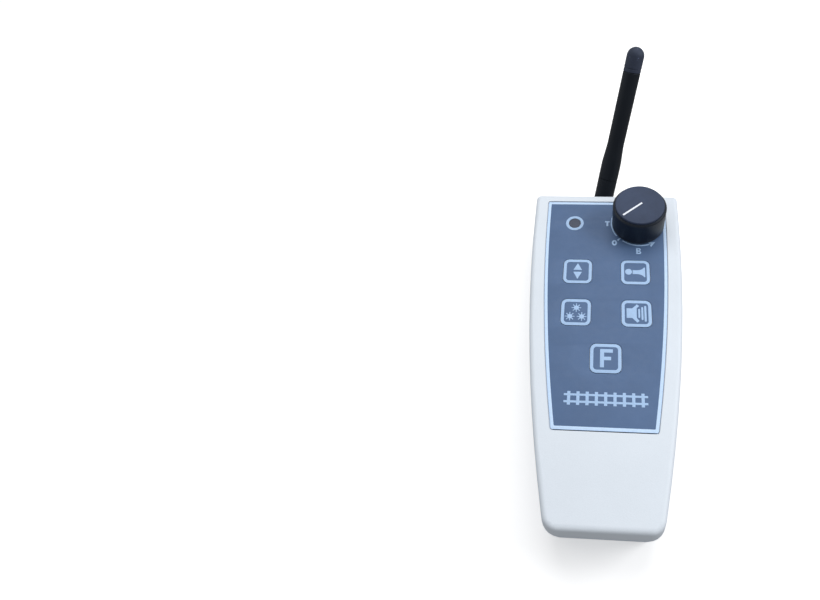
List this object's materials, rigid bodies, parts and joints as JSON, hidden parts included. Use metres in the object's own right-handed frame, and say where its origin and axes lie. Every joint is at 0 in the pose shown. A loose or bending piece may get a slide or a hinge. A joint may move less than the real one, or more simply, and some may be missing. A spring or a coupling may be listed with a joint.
{
  "type": "train set controller",
  "caption": "Handheld radio controller for a model railway: tapered two-shell case, blue keypad film with square keys, speed knob, status light and hinged whip antenna.",
  "frame": {"origin": "on the flat rear face that the controller lies on, on its centre line, 86 mm from the antenna end", "axes": "+Z out through the keypad, +Y towards the antenna end, +X to the right seen from the front"},
  "size_m": [0.0802, 0.2268, 0.0937],
  "materials": {
    "case": "fine-grained moulding, off-white",
    "film": "printed blue film, satin",
    "key": "printed blue film, satin, with a pale outline",
    "black": "dark moulding, satin",
    "cap": "blue-grey cap, matte",
    "print": "white inlaid line",
    "smoke": "smoked window",
    "lamp": "clear green lens",
    "brass": "turned",
    "steel": "plain",
    "board": "green solder mask",
    "chip": "black moulding compound",
    "cell": "plastic-wrapped cell",
    "red": "red wire insulation"
  },
  "bodies": {
    "case": {"front_shell": "case", "rear_shell": "case", "end_panel": "case", "overlay": "film", "light_window": "smoke", "switch_direction": "chip", "switch_horn": "chip", "switch_lights": "chip", "switch_sound": "chip", "switch_function": "chip", "pot_body": "steel", "pot_bushing": "brass", "pot_washer": "steel", "pot_nut": "steel", "circuit_board": "board", "radio_module": "steel", "controller_chip": "chip", "status_lamp": "lamp", "coax_pigtail": "black", "battery_1": "cell", "battery_2": "cell", "bridge_contact": "steel", "negative_contact": "steel", "positive_contact": "steel", "battery_lead_red": "red", "battery_lead_black": "chip", "case_screw_1": "steel", "case_screw_2": "steel", "case_screw_3": "steel", "case_screw_4": "steel", "board_screw_1": "steel", "board_screw_2": "steel", "antenna_socket": "brass", "socket_washer": "steel", "socket_nut": "brass", "antenna_nut": "brass"},
    "knob": {"knob_body": "black", "knob_cap": "cap", "pointer_line": "print", "knob_collet": "brass", "collet_nut": "steel", "pot_shaft": "steel"},
    "battery_door": {"battery_cover": "case"},
    "antenna_mount": {"antenna_base": "black"},
    "whip": {"antenna_knuckle": "black", "hinge_pin": "steel", "antenna_sheath": "black", "antenna_tip": "black", "antenna_radiator": "brass"},
    "direction_key": {"key_direction": "key", "plunger_direction": "black"},
    "horn_key": {"key_horn": "key", "plunger_horn": "black"},
    "lights_key": {"key_lights": "key", "plunger_lights": "black"},
    "sound_key": {"key_sound": "key", "plunger_sound": "black"},
    "function_key": {"key_function": "key", "plunger_function": "black"}
  },
  "joints": [
    {"name": "speed_knob", "type": "hinge", "parent": "case", "child": "knob", "pos_m": [0.0172, 0.0651, 0.04], "axis": [0, 0, 1], "range_deg": [-193, 77]},
    {"name": "antenna_swivel", "type": "hinge", "parent": "case", "child": "antenna_mount", "pos_m": [-0.0025, 0.0947, 0.0125], "axis": [0, 1, 0], "range_deg": [-102.2, 77.8]},
    {"name": "antenna_tilt", "type": "hinge", "parent": "antenna_mount", "child": "whip", "pos_m": [-0.0025, 0.0947, 0.0125], "axis": [0.9774, 0, -0.2113], "range_deg": [-62.7, 27.3]},
    {"name": "battery_cover_slide", "type": "slide", "parent": "case", "child": "battery_door", "axis": [0, -1, 0], "range_m": [0, 0.062]},
    {"name": "direction_key_press", "type": "slide", "parent": "case", "child": "direction_key", "axis": [0, 0, -1], "range_m": [0, 0.0005], "stiffness_N_per_m": 1500},
    {"name": "horn_key_press", "type": "slide", "parent": "case", "child": "horn_key", "axis": [0, 0, -1], "range_m": [0, 0.0005], "stiffness_N_per_m": 1500},
    {"name": "lights_key_press", "type": "slide", "parent": "case", "child": "lights_key", "axis": [0, 0, -1], "range_m": [0, 0.0005], "stiffness_N_per_m": 1500},
    {"name": "sound_key_press", "type": "slide", "parent": "case", "child": "sound_key", "axis": [0, 0, -1], "range_m": [0, 0.0005], "stiffness_N_per_m": 1500},
    {"name": "function_key_press", "type": "slide", "parent": "case", "child": "function_key", "axis": [0, 0, -1], "range_m": [0, 0.0005], "stiffness_N_per_m": 1500}
  ]
}
